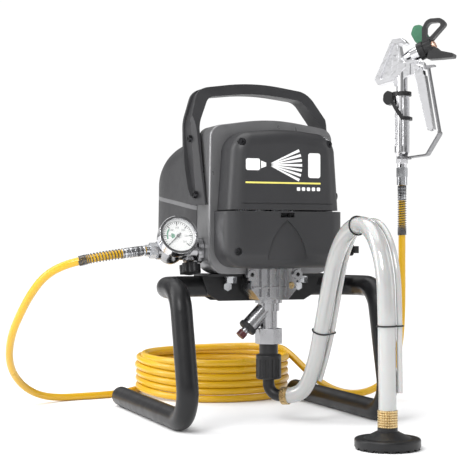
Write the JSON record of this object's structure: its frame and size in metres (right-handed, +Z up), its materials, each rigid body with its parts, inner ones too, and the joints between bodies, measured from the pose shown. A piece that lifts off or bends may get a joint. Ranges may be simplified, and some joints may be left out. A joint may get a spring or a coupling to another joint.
{
  "type": "airless paint sprayer",
  "caption": "Stand-mounted piston paint pump with rear motor, carrying handle, gauge, suction hose with strainer, coiled pressure hose and airless spray gun.",
  "frame": {"origin": "bottom centre of the machine and gun, without the free hoses, on the floor the stand rests on", "axes": "+Z up, +Y towards the motor's rear, +X to the right of someone facing the front cover"},
  "size_m": [0.6291, 0.6935, 0.542],
  "materials": {
    "frame_black": "satin powder coat",
    "cast_aluminium": "satin grey die casting",
    "cover_black": "fine-grained moulded plastic",
    "trim_grey": "satin grey",
    "zinc_steel": "zinc plated",
    "chrome": "polished",
    "steel": "machined",
    "black_rubber": "moulded",
    "black_plastic": "moulded",
    "red_plastic": "moulded",
    "green_plastic": "moulded",
    "brass": "machined",
    "copper_winding": "enamelled",
    "dial_white": "printed",
    "clear_lens": "clear",
    "clear_hose": "translucent",
    "yellow_hose": "smooth jacket",
    "packing_white": "PTFE"
  },
  "bodies": {
    "root": {"cable_gland": "black_rubber", "carrying_handle": "cover_black", "case_screws": "zinc_steel", "foot_end_caps": "black_plastic", "frame_tube": "frame_black", "front_cover_lower": "cover_black", "front_cover_upper": "cover_black", "gauge_case": "chrome", "gauge_dial": "dial_white", "gauge_lens": "clear_lens", "gear_case": "cast_aluminium", "hose_coil": "yellow_hose", "hose_fittings": "zinc_steel", "hose_guards": "zinc_steel", "hose_left_run": "yellow_hose", "hose_right_run": "yellow_hose", "inlet_housing": "steel", "motor_brushes": "black_plastic", "motor_end_bracket": "cast_aluminium", "motor_field": "steel", "motor_pan": "cover_black", "motor_shroud": "cover_black", "motor_trim": "trim_grey", "outlet_manifold": "cast_aluminium", "pump_block": "cast_aluminium", "pusher_boot": "black_rubber", "relief_valve": "zinc_steel", "return_tube": "clear_hose", "rod_packings": "packing_white", "saddle_bolts": "zinc_steel", "saddle_bracket": "frame_black", "shaft_bearings": "steel", "suction_collars": "brass", "suction_coupling": "black_plastic", "suction_hose": "clear_hose", "suction_strainer": "black_plastic", "switch_frame": "black_plastic"},
    "armature": {"motor_armature": "copper_winding", "motor_fan": "black_plastic"},
    "idler": {"idler_gear": "steel"},
    "crank": {"crank_gear": "steel"},
    "piston": {"piston_rod": "chrome"},
    "outlet_check": {"outlet_ball": "steel"},
    "inlet_check": {"inlet_ball": "steel"},
    "pusher": {"pusher_stem": "steel", "pusher_button": "red_plastic"},
    "lever": {"relief_lever": "black_plastic"},
    "knob": {"pressure_knob": "black_plastic"},
    "rocker": {"switch_rocker": "black_plastic"},
    "needle": {"gauge_needle": "black_plastic"},
    "gun": {"gun_body": "chrome", "gun_grip": "chrome", "gun_swivel": "chrome", "trigger_guard": "steel", "grip_saddle": "black_plastic", "gun_diffuser": "zinc_steel", "tip_guard": "black_plastic"},
    "trigger": {"gun_trigger": "chrome"},
    "fluid_needle": {"gun_needle": "steel"},
    "tip": {"spray_tip": "green_plastic"}
  },
  "joints": [
    {"name": "armature_spin", "type": "hinge", "parent": "root", "child": "armature", "pos_m": [-0.09472, 0.01019, 0.294], "axis": [0, 1, 0], "continuous": true},
    {"name": "idler_spin", "type": "hinge", "parent": "root", "child": "idler", "pos_m": [-0.05672, -0.07981, 0.294], "axis": [0, 1, 0], "continuous": true},
    {"name": "crank_spin", "type": "hinge", "parent": "root", "child": "crank", "pos_m": [-0.09472, -0.07981, 0.262], "axis": [0, 1, 0], "continuous": true},
    {"name": "piston_stroke", "type": "slide", "parent": "root", "child": "piston", "axis": [0, 0, 1], "range_m": [-0.008, 0.008]},
    {"name": "outlet_ball_lift", "type": "slide", "parent": "piston", "child": "outlet_check", "axis": [0, 0, 1], "range_m": [0, 0.003]},
    {"name": "inlet_ball_lift", "type": "slide", "parent": "root", "child": "inlet_check", "axis": [0, 0, 1], "range_m": [0, 0.003]},
    {"name": "pusher_press", "type": "slide", "parent": "root", "child": "pusher", "axis": [0.7071, 0, 0.7071], "range_m": [0, 0.002], "stiffness_N_per_m": 800, "springref_m": -0.001},
    {"name": "relief_turn", "type": "hinge", "parent": "root", "child": "lever", "pos_m": [0.00348, -0.09181, 0.214], "axis": [1, 0, 0], "range_deg": [0, 90]},
    {"name": "pressure_turn", "type": "hinge", "parent": "root", "child": "knob", "pos_m": [-0.19272, -0.07181, 0.1995], "axis": [0, -0.2577, -0.9662], "range_deg": [0, 270]},
    {"name": "switch_rock", "type": "hinge", "parent": "root", "child": "rocker", "pos_m": [-0.09472, 0.14919, 0.3015], "axis": [1, 0, 0], "range_deg": [0, 10]},
    {"name": "gauge_sweep", "type": "hinge", "parent": "root", "child": "needle", "pos_m": [-0.21172, -0.085, 0.23107], "axis": [0, 0.9397, -0.342], "range_deg": [0, 250], "stiffness_Nm_per_rad": 0.0005, "springref_deg": -11.46},
    {"name": "gun_swivel_turn", "type": "hinge", "parent": "root", "child": "gun", "pos_m": [0.17728, 0.06419, 0.325], "axis": [0, 0, 1], "continuous": true},
    {"name": "trigger_pull", "type": "hinge", "parent": "gun", "child": "trigger", "pos_m": [0.19395, 0.04693, 0.474], "axis": [0.7193, 0.6947, 0], "range_deg": [0, 13], "stiffness_Nm_per_rad": 1.5, "springref_deg": -2.86},
    {"name": "needle_draw", "type": "slide", "parent": "gun", "child": "fluid_needle", "axis": [-0.6441, 0.667, -0.3746], "range_m": [0, 0.002]},
    {"name": "tip_turn", "type": "hinge", "parent": "gun", "child": "tip", "pos_m": [0.20338, 0.03716, 0.50061], "axis": [0.7193, 0.6947, 0], "range_deg": [0, 180]}
  ],
  "couplings": [
    {"joint": "idler_spin", "follows": "armature_spin", "ratio": -0.26667},
    {"joint": "crank_spin", "follows": "armature_spin", "ratio": 0.063333},
    {"joint": "needle_draw", "follows": "trigger_pull", "m_per_rad": 0.008815}
  ]
}
